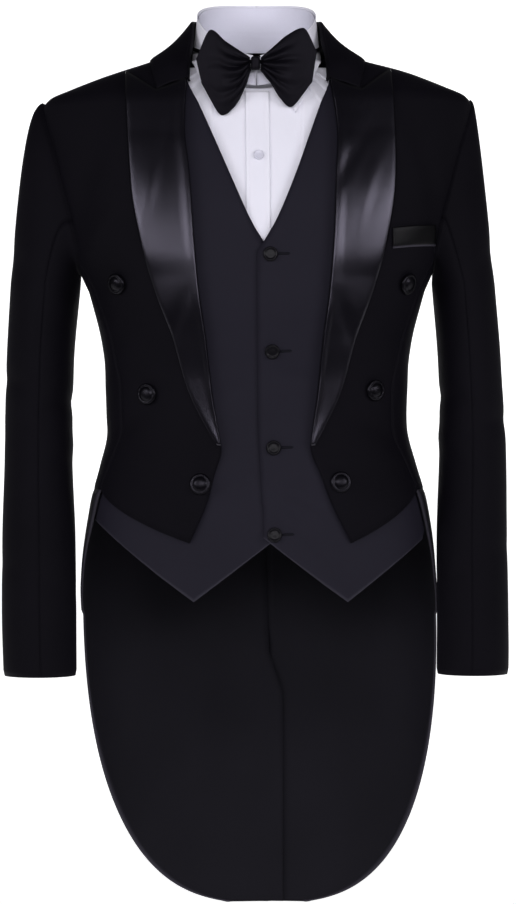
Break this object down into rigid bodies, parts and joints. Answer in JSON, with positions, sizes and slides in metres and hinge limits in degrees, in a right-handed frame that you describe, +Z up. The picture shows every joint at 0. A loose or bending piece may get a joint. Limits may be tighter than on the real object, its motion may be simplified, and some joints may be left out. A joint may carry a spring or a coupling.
{
  "type": "tailcoat suit",
  "caption": "Hollow evening tailcoat suit as if worn: satin-lapelled tailcoat with long rounded tails, waistcoat, shirt front and bow tie.",
  "frame": {"origin": "on the body's axis at the height of the shoulder seams' neck end, where the shoulders carry the suit", "axes": "+Z up, front faces -Y, +X is the wearer's left"},
  "size_m": [0.5543, 0.2431, 1.0055],
  "materials": {
    "wool": "fine black worsted, soft sheen",
    "waistcoat_cloth": "charcoal worsted with a faint violet cast",
    "satin": "dark satin, bright soft highlights",
    "shirt_cotton": "white cotton poplin",
    "bow_satin": "black ribbed silk"
  },
  "bodies": {
    "root": {"bow_knot": "bow_satin", "bow_neckband": "bow_satin", "bow_wing_left": "bow_satin", "bow_wing_right": "bow_satin", "breast_welt": "wool", "coat_back_left": "wool", "coat_back_right": "wool", "coat_button_left_1": "satin", "coat_button_left_2": "satin", "coat_button_left_3": "satin", "coat_button_right_1": "satin", "coat_button_right_2": "satin", "coat_button_right_3": "satin", "coat_collar": "wool", "coat_front_left": "wool", "coat_front_right": "wool", "coat_side_left": "wool", "coat_side_right": "wool", "lapel_left": "satin", "lapel_right": "satin", "shirt_button": "shirt_cotton", "shirt_collar_leaf_left": "shirt_cotton", "shirt_collar_leaf_right": "shirt_cotton", "shirt_collar_stand": "shirt_cotton", "shirt_front": "shirt_cotton", "shirt_placket": "shirt_cotton", "shirt_yoke": "shirt_cotton", "sleeve_top_left": "wool", "sleeve_top_right": "wool", "sleeve_under_left": "wool", "sleeve_under_right": "wool", "tail_left": "wool", "tail_right": "wool", "waistcoat_back_left": "waistcoat_cloth", "waistcoat_back_right": "waistcoat_cloth", "waistcoat_button_1": "satin", "waistcoat_button_2": "satin", "waistcoat_button_3": "satin", "waistcoat_button_4": "satin", "waistcoat_front_left": "waistcoat_cloth", "waistcoat_front_right": "waistcoat_cloth"}
  },
  "joints": []
}
